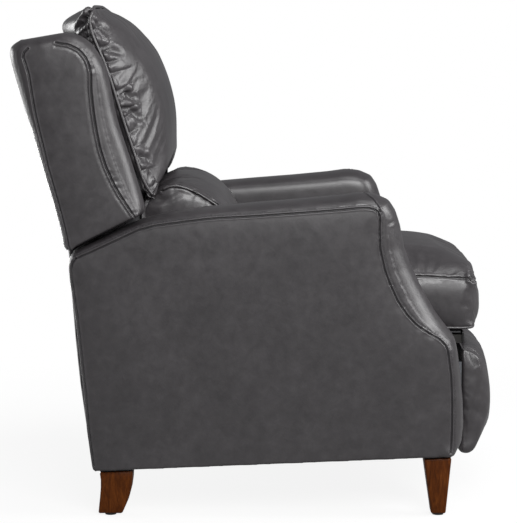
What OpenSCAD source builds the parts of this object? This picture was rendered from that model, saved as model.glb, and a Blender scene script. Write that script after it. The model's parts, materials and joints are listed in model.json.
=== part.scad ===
// High leg push-back recliner in leather, as separate pieces in one frame.
// Millimetres. Z is up, the chair faces -Y, X runs across. Side profiles are
// written as [u, z], where u is the distance forward of the middle plane.

/* [Overall] */
// Width over both arms
overall_w = 800; // [760:10:860]
// Width of one arm
arm_w = 130; // [120:2:140]
// Shift that centres the chair front to back
mid_shift = 11.5; // [0:0.1:30]
// Height of the arm bottom at the rear
bottom_rear = 98; // [92:1:104]
// Rise of the arm bottom from rear to front
bottom_rise = 31; // [24:1:36]

/* [Wings and back] */
// Thickness of one wing
wing_t = 88; // [78:2:96]
// Distance of the wing outer face from the arm outer face
wing_inset = 8; // [4:1:16]
// Half width of the upper back pillow
pillow_half = 285; // [270:1:290]
// Crown of the outside back panel
outside_crown = 8; // [2:1:16]
// Thickness of the outside back panel
outside_t = 12; // [8:1:14]
// Thickness of the back posts across the chair
post_w = 34; // [28:1:40]

/* [Seat and cushions] */
// Side gap between seat cushion and arm
seat_gap = 5; // [3:0.5:9]
// Side gap between footrest pad and arm
foot_gap = 8; // [6:0.5:14]
// Height of the seat rails
rail_h = 18; // [14:1:19]
// Width of the seat rails
rail_w = 34; // [28:1:38]
// Wire thickness of the seat and back springs
wire = 3.6; // [3:0.2:4]
// Half width of one spring wave
wave = 22; // [16:1:24]

/* [Wooden frame] */
// Thickness of the arm panels
panel_t = 18; // [15:1:20]
// Height of the bottom rails in the arms
sill_h = 30; // [24:1:36]
// Width of the bottom rails in the arms
sill_w = 76; // [64:2:80]
// Thickness of the wing panels
wing_panel_t = 15; // [12:1:18]
// Thickness of the cross rails between the arms
cross_t = 24; // [18:1:30]
// Thickness of the footrest board
board_t = 12; // [10:1:15]

/* [Legs] */
// Leg width at the top
leg_top = 58; // [50:1:62]
// Leg width at the floor
leg_foot = 31; // [26:1:38]
// Thickness of the leg plates
leg_plate_t = 3; // [2:0.5:4]
// Height of the floor glides
glide_h = 4; // [3:0.5:6]
// Diameter of the floor glides
glide_d = 24; // [18:1:26]

/* [Mechanism] */
// Thickness of the steel plates and links
plate_t = 4; // [3:0.25:4.5]
// Free space between neighbouring plates
lay_gap = 1.5; // [1.4:0.1:2]
// Diameter of the pivot pins
pin_d = 8; // [6:0.5:9]
// Radial clearance of a pin in its hole
pin_clear = 0.06; // [0.03:0.01:0.1]
// Thickness of a pin head
head_t = 1.1; // [0.8:0.1:1.1]
// Width of the ottoman links
link_w = 18; // [14:1:20]
// Length of the seat swing links
swing_len = 70; // [60:1:76]
// Backward lean of the swing links when upright
swing_lean = 16.8; // [14:0.2:17]
// Diameter of the drive tube
tube_d = 18; // [14:1:20]
// Diameter of the mechanism bolts
bolt_d = 8; // [6:0.5:9]

/* [Hidden] */
$fn = 48;
half_w = overall_w / 2;
in_x = half_w - arm_w;
pitch = plate_t + lay_gap;
collar_d = pin_d + 4;
hole_d = pin_d + 2 * pin_clear;
bottom_len = 750;
cushion_half = in_x - seat_gap;
foot_half = in_x - foot_gap;
wing_out = half_w - wing_inset;
wing_in = wing_out - wing_t;
back_half = wing_in - 0.4;
low_half = in_x - 4.5;
post_out = in_x - plate_t - 3 * pitch;
spring_side = 25.5;
spring_pitch = (post_out - post_w - wave - spring_side) / 2;
sill_x = half_w - 53;
panel_x = half_w - 61;
wing_panel_x = (wing_in + wing_out) / 2 + 4;
leg_x = half_w - 35;
leg_gap = 0.2;

// Pivots in side view at rest
back_pivot = [-295, 300];
seat_front_pivot = [240, 300];
seat_rear_pivot = [-60, 300];
swing_step = swing_len * [sin(swing_lean), -cos(swing_lean)];
base_front_pivot = seat_front_pivot + swing_step;
base_rear_pivot = seat_rear_pivot + swing_step;
main_pivot = [385, 335];
elbow = main_pivot + [-58, -158];
elbow_low = elbow + [3, -45];
foot_pivot = elbow + [81, 120];
foot_pivot_low = elbow_low + [81, 120];
tube_at = elbow + 110 * [58, 158] / norm([58, 158]);
rail_z = 350;
rail_rear = -225;
rail_front = 430;
spring_z = rail_z + rail_h + 0.1;
deck_z = spring_z + wire + 0.1;
deck_t = 3.6;
seat_bottom = deck_z + deck_t + 0.2;
bolt_us = [-95, 150];
rail_low = 214;
rail_high = 251;
rail_end_rear = -118;
rail_end_front = 318;

// Curves and skins

function curve_at(a, b, c, d, t) =
  0.5 * (2 * b + (c - a) * t + (2 * a - 5 * b + 4 * c - d) * t * t
  + (3 * b - a - 3 * c + d) * t * t * t);

function smooth(p, n) = concat(
  [for (i = [0:len(p) - 2]) for (k = [0:n - 1])
    curve_at(p[max(i - 1, 0)], p[i], p[i + 1], p[min(i + 2, len(p) - 1)], k / n)],
  [p[len(p) - 1]]);

function reversed(p) = [for (i = [len(p) - 1:-1:0]) p[i]];

// Height of the arm bottom at a distance forward
function floor_of(u) = bottom_rear + (u + 354) * bottom_rise / bottom_len;

// Share of the crown reached at t across a piece, 0 on its side faces
function crown(t, p) = abs(t) >= 1 ? 0 : pow(1 - pow(abs(t), p), 0.55);

// One ring of a crowned piece: pairs are [seam u, seam z, crest u, crest z, p]
function ring(x, t, low, high, full) = concat(
  [for (q = low) let (f = full && t < 0 ? 1 : crown(t, q[4]))
    [x, -(q[0] + (q[2] - q[0]) * f), q[1] + (q[3] - q[1]) * f]],
  [for (q = reversed(high)) let (f = crown(t, q[4]))
    [x, -(q[0] + (q[2] - q[0]) * f), q[1] + (q[3] - q[1]) * f]]);

// Closed skin over rings that each hold a low and a high chain of points
module skin(rings) {
  m = len(rings[0]);
  k = len(rings);
  n = m / 2;
  last = (k - 1) * m;
  walls = [for (j = [0:k - 2]) for (i = [0:m - 1])
    let (a = j * m + i, b = j * m + (i + 1) % m)
    each [[a, b, b + m], [a, b + m, a + m]]];
  ends = [for (i = [0:n - 2])
    each [[i, m - 1 - i, i + 1], [i + 1, m - 1 - i, m - 2 - i],
      [last + i, last + i + 1, last + m - 1 - i],
      [last + i + 1, last + m - 2 - i, last + m - 1 - i]]];
  polyhedron(points = [for (r = rings) each r], faces = concat(walls, ends));
}

steps_wide = [-1, -0.975, -0.9, -0.76, -0.55, -0.3, 0, 0.3, 0.55, 0.76, 0.9, 0.975, 1];

// A crowned piece between two side faces; full keeps the crest of the low
// chain right up to the inner face
module crowned(x0, x1, low, high, steps = steps_wide, full = false) {
  mid = (x0 + x1) / 2;
  half = (x1 - x0) / 2;
  skin([for (t = steps) ring(mid + half * t, t, low, high, full)]);
}

// Straight pieces

module slab(x0, x1) {
  translate([x0, 0, 0]) rotate([90, 0, 90]) linear_extrude(x1 - x0)
    mirror([1, 0, 0]) children();
}

module block(x0, x1, u0, u1, z0, z1) {
  translate([x0, -u1, z0]) cube([x1 - x0, u1 - u0, z1 - z0]);
}

module rod(x0, x1, p, d) {
  translate([x0, -p[0], p[1]]) rotate([0, 90, 0]) cylinder(h = x1 - x0, d = d);
}

module bar(p, q, w, web = 0) {
  body = web > 0 ? web : w;
  translate(p) circle(d = w);
  translate(q) circle(d = w);
  translate(p) rotate(atan2(q[1] - p[1], q[0] - p[0])) translate([0, -body / 2])
    square([norm(q - p), body]);
}

module bore(p, d = hole_d) {
  translate(p) circle(d = d);
}

module other_side() {
  mirror([1, 0, 0]) children();
}

module both() {
  children();
  mirror([1, 0, 0]) children();
}

function lay_out(k) = in_x - k * pitch;
function lay_in(k) = in_x - k * pitch - plate_t;

module layer(k) {
  slab(lay_in(k), lay_out(k)) children();
}

// A pin through layer a and the layer b inside it, with flat heads
module pin(a, b, p) {
  x0 = lay_in(b) - head_t;
  x1 = a == 0 ? lay_out(0) - 0.2 : lay_out(a) + head_t;
  rod(x0, x1, p, pin_d);
  rod(x0, lay_in(b) - 0.1, p, collar_d);
  rod(lay_out(b) + 0.1, lay_in(a) - 0.1, p, collar_d);
  if (a > 0) rod(lay_out(a) + 0.1, x1, p, collar_d);
}

// Arms

arm_high = [
  [-355, 112, -357, 112, 6], [-364, 187, -367, 187, 6], [-370, 270, -373, 270, 6],
  [-378, 350, -381, 350, 6], [-386, 433, -389, 433, 6], [-397, 510, -400, 510, 6],
  [-397, 538, -402, 545, 6], [-388, 550, -393, 560, 6], [-362, 561, -366, 573, 6],
  [-329, 576, -331, 589, 6], [-293, 593, -295, 606, 6], [-259, 609, -260, 621, 6],
  [-225, 618, -228, 631, 5], [-190, 623, -195, 639, 4], [-111, 633, -121, 651, 3],
  [-20, 638, -20, 660, 2.6], [80, 645, 80, 668, 2.5], [160, 651, 163, 676, 2.4],
  [200, 655, 205, 682, 2.4], [224, 655, 236, 679, 2.3], [240, 650, 264, 667, 2.2],
  [245, 638, 278, 646, 2.2], [243, 608, 288, 616, 2.2], [244, 568, 298, 566, 2.2],
  [255, 521, 313, 527, 2.2], [268, 489, 330, 492, 2.2], [281, 461, 347, 460, 2.2],
  [299, 434, 364, 431, 2.2], [321, 410, 381, 408, 2.2], [347, 393, 396, 390, 2.2],
  [371, 380, 406, 374, 2.3], [386, 362, 411, 352, 2.3], [394, 304, 418, 300, 2.4],
  [397, 245, 424, 243, 2.4], [397, 190, 426, 190, 2.4], [396, 155, 422, 153, 2.4],
  [393, 140, 411, 138, 2.4]
];
arm_n = len(arm_high);
arm_low = [for (i = [0:arm_n - 1])
  let (even = -354 + 742 * i / (arm_n - 1), own = min(max(arm_high[i][0], -354), 388),
    u = 0.3 * even + 0.7 * own, reach = u + 16 * pow(i / (arm_n - 1), 8))
  [u, floor_of(u), reach, floor_of(reach), 3]];

arm_panel_shape = [
  [-338, floor_of(-338) + sill_h], [-350, 260], [-376, 500], [-370, 538],
  [-250, 592], [-100, 612], [200, 632], [222, 622], [224, 560], [246, 500],
  [290, 424], [356, 366], [374, 345], [376, floor_of(376) + sill_h]
];

module arm_panel() {
  difference() {
    slab(panel_x - panel_t / 2, panel_x + panel_t / 2) polygon(arm_panel_shape);
    for (u = bolt_us)
      rod(panel_x - panel_t / 2 - 1, panel_x + panel_t / 2 + 1,
        [u, (rail_low + rail_high) / 2 + 2], bolt_d + 2 * pin_clear);
  }
}

module sill_block(gap) {
  slab(sill_x - sill_w / 2 - gap, sill_x + sill_w / 2 + gap)
    polygon([[-340 - gap, floor_of(-340 - gap) - (gap > 0 ? 5 : 0)],
      [380 + gap, floor_of(380 + gap) - (gap > 0 ? 5 : 0)],
      [380 + gap, floor_of(380 + gap) + sill_h + gap],
      [-340 - gap, floor_of(-340 - gap) + sill_h + gap]]);
}

module arm_cover() {
  difference() {
    crowned(in_x, half_w, arm_low, arm_high);
    slab(panel_x - panel_t / 2 - leg_gap, panel_x + panel_t / 2 + leg_gap)
      offset(delta = leg_gap) polygon(arm_panel_shape);
    sill_block(leg_gap);
    for (u = bolt_us)
      rod(in_x - 1, panel_x, [u, (rail_low + rail_high) / 2 + 2], bolt_d + 1);
  }
}

// Cross rails between the arms

module stretcher(u, z0, z1) {
  block(-in_x, in_x, u - cross_t / 2, u + cross_t / 2, z0, z1);
}

// Legs

function leg_quad(x, w, u0, u1, z0, z1) = [
  [x - w / 2, -u0, z0], [x + w / 2, -u0, z0], [x + w / 2, -u1, z1], [x - w / 2, -u1, z1]];

// Rings run upward, each is [width, rear u, front u, rear z, front z]
module leg(rows) {
  skin([for (r = rows) leg_quad(leg_x, r[0], r[1], r[2], r[3], r[4])]);
}

function leg_width(share) = leg_foot + (leg_top - leg_foot) * share;

module front_leg() {
  rear = 369 - leg_top / 2;
  front = rear + leg_top;
  leg([[leg_foot, 372.5 - leg_foot / 2, 372.5 + leg_foot / 2, glide_h, glide_h],
    [leg_top, rear, front, floor_of(rear) - leg_plate_t, floor_of(front) - leg_plate_t]]);
}

module rear_leg() {
  leg([[leg_foot, -347.5, -297, glide_h, glide_h],
    [leg_width(0.18), -345.5, -289, 22, 22],
    [leg_width(0.38), -343.5, -282, 39, 39],
    [leg_width(0.62), -341.5, -276.5, 60, 60],
    [leg_width(0.82), -341, -274, 79, 79],
    [leg_top, -343, -273, floor_of(-343) - leg_plate_t, floor_of(-273) - leg_plate_t]]);
}

module leg_plate(u0, u1) {
  slab(leg_x - leg_top / 2 + 6, sill_x + sill_w / 2 - 2)
    polygon([[u0, floor_of(u0) - leg_plate_t], [u1, floor_of(u1) - leg_plate_t],
      [u1, floor_of(u1)], [u0, floor_of(u0)]]);
}

// Seat mechanism

module base_rail() {
  difference() {
    layer(0) translate([rail_end_rear, rail_low])
      square([rail_end_front - rail_end_rear, rail_high - rail_low]);
    rod(lay_in(0) - 1, lay_out(0) + 1, base_front_pivot, hole_d);
    rod(lay_in(0) - 1, lay_out(0) + 1, base_rear_pivot, hole_d);
    for (u = bolt_us)
      rod(lay_in(0) - 1, lay_out(0) + 1, [u, (rail_low + rail_high) / 2 + 2],
        bolt_d + 2 * pin_clear);
  }
  block(lay_in(3), lay_in(0), rail_end_rear, rail_end_front, rail_low, rail_low + plate_t);
}

module rail_bolt(u) {
  p = [u, (rail_low + rail_high) / 2 + 2];
  rod(lay_in(0) - 2.6, lay_in(0), p, bolt_d + 6);
  rod(lay_in(0) - 0.1, panel_x + panel_t / 2 - 1, p, bolt_d);
}

module swing_link(p, q) {
  layer(1) difference() {
    bar(p, q, 24);
    bore(p);
    bore(q);
  }
}

seat_plate_shape = [
  [-314, 284], [-314, 316], [-240, rail_z], [402, rail_z], [402, 318], [300, 280], [-292, 280]
];

module seat_plate() {
  layer(2) difference() {
    polygon(seat_plate_shape);
    for (p = [back_pivot, seat_front_pivot, seat_rear_pivot, main_pivot]) bore(p);
  }
  block(lay_in(3) - 18, lay_in(2), rail_rear + 4, 352, rail_z - plate_t, rail_z);
}

module seat_side_rail() {
  block(lay_out(2) - rail_w, lay_out(2), rail_rear, rail_front, rail_z, rail_z + rail_h);
}

rail_inner = lay_out(2) - rail_w;

module cross_rail(u0, u1) {
  block(-rail_inner, rail_inner, u0, u1, rail_z, rail_z + rail_h);
}

// Outline of one spring laid along u, folded from side to side
function zig_side(a, step, n, s) = [for (i = [0:n - 1]) each
  let (w = i % 2 == 0 ? wave : -wave, o = i % 2 == 0 ? s : -s)
  [[a + step * i - o * wire / 2, w + s * wire / 2],
    [a + step * (i + 1) + o * wire / 2, w + s * wire / 2]]];

module spring(a, b, n) {
  step = (b - a) / n;
  linear_extrude(wire) polygon(concat(zig_side(a, step, n, 1),
    reversed(zig_side(a, step, n, -1))));
}

module seat_springs_all() {
  for (k = [-2:2])
    translate([k * spring_pitch, 0, spring_z]) rotate([0, 0, -90]) spring(rail_rear + 8, rail_front - 8, 27);
}

// Seat cushion: side seam and crest pairs

seat_high = [
  [-42, 392, -42, 392, 2.4], [-45, 425, -47, 425, 2.4], [-46, 462, -49, 470, 2.4],
  [-43, 482, -47, 505, 2.4], [-34, 492, -36, 530, 2.4], [-8, 496, -6, 549, 2.4],
  [60, 498, 60, 558, 2.4], [150, 499, 150, 563, 2.4], [240, 499, 240, 561, 2.4],
  [310, 498, 318, 559, 2.4], [350, 497, 352, 556, 2.4], [380, 496, 386, 549, 2.4],
  [410, 494, 418, 540, 2.4], [434, 493, 443, 529, 2.4], [450, 490, 463, 516, 2.4],
  [460, 483, 475, 502, 2.4], [466, 468, 481, 480, 2.4], [468, 446, 482, 452, 2.4],
  [467, 420, 479, 422, 2.4], [464, 396, 473, 397, 2.4]
];
seat_low = [for (i = [0:len(seat_high) - 1])
  let (u = -38 + 496 * i / (len(seat_high) - 1)) [u, seat_bottom, u, seat_bottom, 3]];

// Footrest: the rear chain is straight, the front chain bulges

foot_rear = foot_pivot[0] + 23;
foot_high = [
  [446, 107, 446, 106, 2.4], [459, 118, 470, 114, 2.4], [468, 134, 486, 131, 2.4],
  [475, 155, 498, 154, 2.4], [479, 180, 504, 180, 2.4], [481, 208, 506, 207, 2.4],
  [481, 240, 505, 238, 2.4], [479, 268, 500, 268, 2.4], [476, 292, 494, 298, 2.4],
  [470, 312, 488, 325, 2.4], [461, 329, 479, 344, 2.4], [446, 342, 457, 354, 2.4]
];
foot_low = [for (i = [0:len(foot_high) - 1])
  let (z = 112 + 226 * i / (len(foot_high) - 1)) [foot_rear, z, foot_rear, z, 3]];

// Upper pillow: welt line, front crest and rear crest, bottom to top

function pad_front(z) = z < 640 ? -238 - (z - 400) * 28 / 240 : -266 - (z - 640) * 164 / 360;

pillow_rows = [
  [-226, 675, -213, 714, -238, 716, 0], [-248, 686, -199, 738, -276, 739, 0],
  [-262, 730, -195, 782, 0, 785, 1], [-284, 798, -195, 835, 0, 835, 1],
  [-304, 860, -205, 886, 0, 885, 1], [-321, 918, -223, 936, 0, 930, 1],
  [-338, 966, -250, 988, 0, 970, 1], [-356, 1003, -286, 1030, -440, 1009, 0],
  [-366, 1038, -328, 1057, -444, 1038, 0], [-362, 1068, -368, 1070, -388, 1069, 0]
];
pillow_rear = [for (r = pillow_rows)
  [r[6] == 1 ? pad_front(r[5]) + 0.2 : r[4], r[5]]];
pillow_fine = [for (q = smooth([for (i = [0:len(pillow_rows) - 1])
  concat([for (c = [0:3]) pillow_rows[i][c]], pillow_rear[i])], 2))
  [q[0], q[1], q[2], q[3], q[5] < 1004 ? max(q[4], pad_front(q[5]) + 0.25) : q[4], q[5]]];

function pillow_point(x, q, t, c) =
  let (f = crown(t, 2.3), s = c == 2 ? 3 : -3)
  [x, -((q[0] + s) * (1 - f) + q[c] * f), q[1] * (1 - f) + q[c + 1] * f];

function pillow_ring(x, t) = concat(
  [for (q = pillow_fine) pillow_point(x, q, t, 4)],
  [for (q = reversed(pillow_fine)) pillow_point(x, q, t, 2)]);

steps_fine = [-1, -0.985, -0.94, -0.86, -0.74, -0.58, -0.4, -0.2, 0,
  0.2, 0.4, 0.58, 0.74, 0.86, 0.94, 0.985, 1];

// Lower back cushion, rear chain and front chain from the bottom

lumbar_front = [
  [-66, 397, -60, 397, 2.4], [-59, 415, -55, 415, 2.4], [-57, 470, -54, 470, 2.4],
  [-57, 530, -54, 530, 2.4], [-58, 580, -52, 580, 2.4], [-63, 620, -50, 622, 2.4],
  [-80, 644, -64, 648, 2.4], [-108, 663, -92, 675, 2.4], [-147, 684, -128, 696, 2.4],
  [-178, 694, -165, 710, 2.4], [-200, 693, -197, 714, 2.4], [-216, 684, -214, 706, 2.4]
];
lumbar_rear = [for (i = [0:11])
  let (z = i < 10 ? 397 + 24 * i : i == 10 ? 640 : 662,
    u = pad_front(min(z, 613)) + (i < 10 ? 0.2 : i == 10 ? 3 : 12))
  [u, z, u, z + (i > 9 ? 14 : 0), 2.4]];

// Wing: rear chain and front chain from the bottom

wing_front = [
  [-264, 634, -246, 641, 2.4], [-279, 656, -248, 664, 2.3], [-296, 682, -256, 690, 2.3],
  [-310, 708, -265, 720, 2.3], [-324, 740, -274, 750, 2.3], [-336, 778, -285, 783, 2.3],
  [-343, 815, -297, 818, 2.3], [-349, 855, -307, 856, 2.3], [-353, 900, -315, 900, 2.3],
  [-353, 935, -323, 938, 2.3], [-360, 960, -338, 970, 2.3], [-376, 980, -356, 995, 2.3],
  [-398, 991, -378, 1010, 2.3], [-424, 995, -404, 1016, 2.3]
];
wing_rear = [
  [-401, 563, -412, 563, 3], [-407, 596, -417, 600, 3], [-415, 632, -426, 636, 3],
  [-424, 667, -435, 669, 3], [-433, 700, -445, 703, 3], [-444, 740, -456, 742, 3],
  [-452, 778, -467, 780, 3], [-461, 815, -477, 817, 3], [-469, 852, -489, 852, 3],
  [-475, 892, -501, 893, 3], [-481, 930, -512, 932, 3], [-488, 955, -520, 963, 3],
  [-494, 970, -521, 984, 3], [-482, 983, -502, 999, 3]
];
wing_panel_shape = [
  [-396, 592], [-296, 642], [-306, 690], [-336, 762], [-360, 850], [-368, 930],
  [-378, 964], [-412, 980], [-468, 970], [-482, 945], [-478, 885], [-458, 800], [-428, 690]
];

// Back frame profile: rear and front edge from the bottom

post_shape = [[-374, 290], [-334, 290], [-356, 567], [-465, 985], [-505, 985], [-396, 567]];

function post_rear(z) = z < 567 ? -374 - 22 * (z - 290) / 277 : -396 - 109 * (z - 567) / 418;
function post_front(z) = post_rear(z) + 40;

module back_rail(x0, x1, z, h) {
  slab(x0, x1) polygon([[post_rear(z) + 3, z], [post_front(z) - 3, z],
    [post_front(z + h) - 3, z + h], [post_rear(z + h) + 3, z + h]]);
}

wing_rail_zs = [662, 886];
wing_rail_h = 30;

module wing_panel() {
  slab(wing_panel_x - wing_panel_t / 2, wing_panel_x + wing_panel_t / 2) polygon(wing_panel_shape);
}

module wing_cover() {
  difference() {
    crowned(wing_in, wing_out, wing_rear, wing_front, steps_wide, true);
    slab(wing_panel_x - wing_panel_t / 2 - leg_gap, wing_panel_x + wing_panel_t / 2 + leg_gap)
      offset(delta = leg_gap) polygon(wing_panel_shape);
    for (z = wing_rail_zs)
      slab(wing_in - 1, wing_panel_x) polygon([
        [post_rear(z) + 3 - leg_gap, z - leg_gap], [post_front(z) - 3 + leg_gap, z - leg_gap],
        [post_front(z + wing_rail_h) - 3 + leg_gap, z + wing_rail_h + leg_gap],
        [post_rear(z + wing_rail_h) + 3 - leg_gap, z + wing_rail_h + leg_gap]]);
  }
}

// Panel rows run upward, each is [z, half width, side u, crown, inner u]
across = [-1, -0.8, -0.5, 0, 0.5, 0.8, 1];

function panel_ring(r) = concat(
  [for (t = across) [t * r[1], -(r[2] - r[3] * (1 - t * t)), r[0]]],
  [for (t = reversed(across)) [t * r[1], -r[4], r[0]]]);

outside_rows = [for (r = [
  [156, low_half, -374], [162, low_half, -379], [260, low_half, -392], [356, low_half, -401],
  [358, low_half, -401.2], [450, low_half, -408], [545, low_half, -414], [576, low_half, -419],
  [578, back_half, -419.5], [640, back_half, -430], [740, back_half, -457],
  [852, back_half, -489], [932, back_half, -512], [975, back_half, -521],
  [992, back_half, -516], [1001, back_half, -506]])
  [r[0], r[1], r[2], outside_crown, r[2] + outside_t]];

padding_rows = [for (r = [
  [398, cushion_half - 1], [567, cushion_half - 1], [640, cushion_half - 1],
  [652, cushion_half - 1], [654, back_half], [985.6, back_half]])
  [r[0], r[1], post_front(r[0]) + wire - 2.4, 0, pad_front(r[0])]];

padding_top = [[986, back_half, -493, 0, pad_front(986)], [998, back_half, -493, 0, -432],
  [1003, back_half, -488, 0, -440]];

module back_springs_all() {
  lean = atan(109 / 418);
  for (k = [-2:2])
    translate([k * spring_pitch, -(post_front(590) - 2.9), 590]) rotate([90 - lean, 0, 0])
      rotate([0, 0, 90]) spring(6, 385, 17);
}

// Back brackets and ottoman linkage

back_bracket_shape = [
  [-370, 302], [-376, 415], [-348, 418], [-334, 346], [-283, 314], [-281, 287], [-311, 286], [-340, 296]
];
bracket_screw_spots = [[-358, 325], [-361, 360], [-364, 398]];

module back_bracket() {
  layer(3) difference() {
    polygon(back_bracket_shape);
    bore(back_pivot);
    for (p = bracket_screw_spots) bore(p, 6.2);
  }
}

module back_post() {
  difference() {
    slab(post_out - post_w, post_out) polygon(post_shape);
    for (p = bracket_screw_spots) rod(post_out - 24, post_out + 1, p, 6.2);
  }
}

module main_link() {
  layer(3) difference() {
    union() {
      bar(main_pivot, elbow, 22);
      bar(elbow, elbow_low, 22);
      translate(tube_at) circle(d = tube_d + 10);
    }
    bore(main_pivot);
    bore(elbow);
    bore(elbow_low);
    bore(tube_at, tube_d + 2 * pin_clear);
  }
}

module ottoman_link(p, q) {
  layer(4) difference() {
    bar(p, q, link_w, link_w - 3);
    bore(p);
    bore(q);
  }
}

module footrest_bracket() {
  layer(3) difference() {
    union() {
      bar(foot_pivot, foot_pivot_low, 22);
      translate([foot_pivot[0], foot_pivot_low[1] - 11])
        square([foot_rear - foot_pivot[0], foot_pivot[1] - foot_pivot_low[1] + 22]);
    }
    bore(foot_pivot);
    bore(foot_pivot_low);
  }
  difference() {
    block(lay_in(3) - 26, lay_in(3), foot_rear - plate_t, foot_rear,
      foot_pivot_low[1] - 11, foot_pivot[1] + 11);
    for (z = [foot_pivot_low[1] + 4, foot_pivot[1] - 4])
      translate([lay_in(3) - 15, -foot_rear - 1, z]) rotate([-90, 0, 0]) cylinder(h = plate_t + 2, d = 6.2);
  }
}

module footrest_screw(z) {
  translate([lay_in(3) - 15, 0, z]) rotate([90, 0, 0]) {
    translate([0, 0, foot_rear - plate_t - 2]) cylinder(h = 2, d = 11);
    translate([0, 0, foot_rear - plate_t - 0.5]) cylinder(h = plate_t + board_t - 2, d = 6);
  }
}

board_low = 124;
board_high = 328;
board_half = foot_half - 10;

module board() {
  difference() {
    block(-board_half, board_half, foot_rear, foot_rear + board_t, board_low, board_high);
    both() for (z = [foot_pivot_low[1] + 4, foot_pivot[1] - 4])
      translate([lay_in(3) - 15, -foot_rear - board_t - 1, z]) rotate([-90, 0, 0])
        cylinder(h = board_t + 2, d = 6.2);
  }
}

module foot_pad() {
  difference() {
    crowned(-foot_half, foot_half, foot_low, foot_high, steps_fine);
    block(-board_half - leg_gap, board_half + leg_gap, foot_rear - 1, foot_rear + board_t + leg_gap,
      board_low - leg_gap, board_high + leg_gap);
  }
}

leather = [0.26, 0.25, 0.27];
timber = [0.72, 0.56, 0.38];
fabric = [0.2, 0.2, 0.21];
plastic = [0.08, 0.08, 0.08];
steel = [0.45, 0.46, 0.48];
walnut = [0.35, 0.2, 0.1];

module place(c) {
  translate([0, -mid_shift, 0]) color(c) children();
}

// Named pieces

module arm_cover_right() place(leather) other_side() arm_cover();
module arm_cover_left() place(leather) arm_cover();

module arm_panel_right() place(timber) other_side() arm_panel();
module arm_panel_left() place(timber) arm_panel();

module sill_right() place(timber) other_side() sill_block(0);
module sill_left() place(timber) sill_block(0);

module front_stretcher() place(timber) stretcher(237, 132, 188);

module rear_stretcher() place(timber) stretcher(-165, 110, 166);

module rear_rail() place(timber) stretcher(-339, 99, 122);

module front_leg_right() place(walnut) other_side() front_leg();
module front_leg_left() place(walnut) front_leg();

module rear_leg_right() place(walnut) other_side() rear_leg();
module rear_leg_left() place(walnut) rear_leg();

module leg_plates() place(steel) both() {
  leg_plate(369 - leg_top / 2, 369 + leg_top / 2);
  leg_plate(-343, -273);
}

module leg_glides() place(plastic) both() for (u = [372.5, -322.2])
  translate([leg_x, -u, 0]) cylinder(h = glide_h, d = glide_d);

module base_rail_right() place(steel) other_side() base_rail();
module base_rail_left() place(steel) base_rail();

module rail_bolts() place(steel) both() for (u = bolt_us) rail_bolt(u);

module base_pins() place(steel) both() {
  pin(0, 1, base_front_pivot);
  pin(0, 1, base_rear_pivot);
}

module front_swing_links() place(steel) both() swing_link(base_front_pivot, seat_front_pivot);

module rear_swing_links() place(steel) both() swing_link(base_rear_pivot, seat_rear_pivot);

module seat_plate_right() place(steel) other_side() seat_plate();
module seat_plate_left() place(steel) seat_plate();

module seat_pins() place(steel) both() {
  pin(1, 2, seat_front_pivot);
  pin(1, 2, seat_rear_pivot);
  pin(2, 3, main_pivot);
  pin(2, 3, back_pivot);
}

module seat_side_rail_right() place(timber) other_side() seat_side_rail();
module seat_side_rail_left() place(timber) seat_side_rail();

module seat_front_rail() place(timber) cross_rail(rail_front - 30, rail_front);

module seat_rear_rail() place(timber) cross_rail(rail_rear, rail_rear + 30);

module seat_springs() place(steel) seat_springs_all();

module seat_deck() place(fabric) block(-rail_inner - rail_w + 2, rail_inner + rail_w - 2, rail_rear + 4, rail_front - 2,
  deck_z, deck_z + deck_t);

module seat_cushion() place(leather) crowned(-cushion_half, cushion_half, seat_low, seat_high, steps_fine);

module front_border() place(leather) block(-cushion_half + 2, cushion_half - 2, rail_front + 0.2, rail_front + 4.2,
  rail_z + 2, seat_bottom - 0.3);

module back_post_right() place(timber) other_side() back_post();
module back_post_left() place(timber) back_post();

module back_rails() place(timber) {
  back_rail(post_w - post_out, post_out - post_w, 302, 40);
  back_rail(post_w - post_out, post_out - post_w, 572, 34);
  back_rail(post_w - post_out, post_out - post_w, 942, 40);
}

module wing_rails() place(timber) both() for (z = wing_rail_zs)
  back_rail(post_out, wing_panel_x - wing_panel_t / 2, z, wing_rail_h);

module back_springs() place(steel) back_springs_all();

module outside_back() place(leather) skin([for (r = outside_rows) panel_ring(r)]);

module inner_back_padding() place(fabric) skin([for (r = concat(padding_rows, padding_top)) panel_ring(r)]);

module wing_cover_right() place(leather) other_side() wing_cover();
module wing_cover_left() place(leather) wing_cover();

module wing_panel_right() place(timber) other_side() wing_panel();
module wing_panel_left() place(timber) wing_panel();

module back_pillow() place(leather) skin([for (t = steps_fine) pillow_ring(pillow_half * t, t)]);

module lumbar_cushion() place(leather) crowned(-cushion_half, cushion_half, lumbar_rear, lumbar_front, steps_fine);

module back_bracket_right() place(steel) other_side() back_bracket();
module back_bracket_left() place(steel) back_bracket();

module bracket_screws() place(steel) both() for (p = bracket_screw_spots) {
  rod(lay_in(3) - 20, lay_out(3), p, 6);
  rod(lay_out(3), lay_out(3) + 1.1, p, 11);
}

module main_link_right() place(steel) other_side() main_link();
module main_link_left() place(steel) main_link();

module drive_tube() place(steel) rod(-lay_out(3) - 1, lay_out(3) + 1, tube_at, tube_d);

module main_link_pins() place(steel) both() {
  pin(3, 4, elbow);
  pin(3, 4, elbow_low);
}

module upper_links() place(steel) both() ottoman_link(elbow, foot_pivot);

module lower_links() place(steel) both() ottoman_link(elbow_low, foot_pivot_low);

module footrest_bracket_right() place(steel) other_side() footrest_bracket();
module footrest_bracket_left() place(steel) footrest_bracket();

module footrest_board() place(timber) board();

module footrest_screws() place(steel) both() for (z = [foot_pivot_low[1] + 4, foot_pivot[1] - 4]) footrest_screw(z);

module footrest_cushion() place(leather) foot_pad();

module footrest_pins() place(steel) both() {
  pin(3, 4, foot_pivot);
  pin(3, 4, foot_pivot_low);
}

// What is drawn

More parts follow.
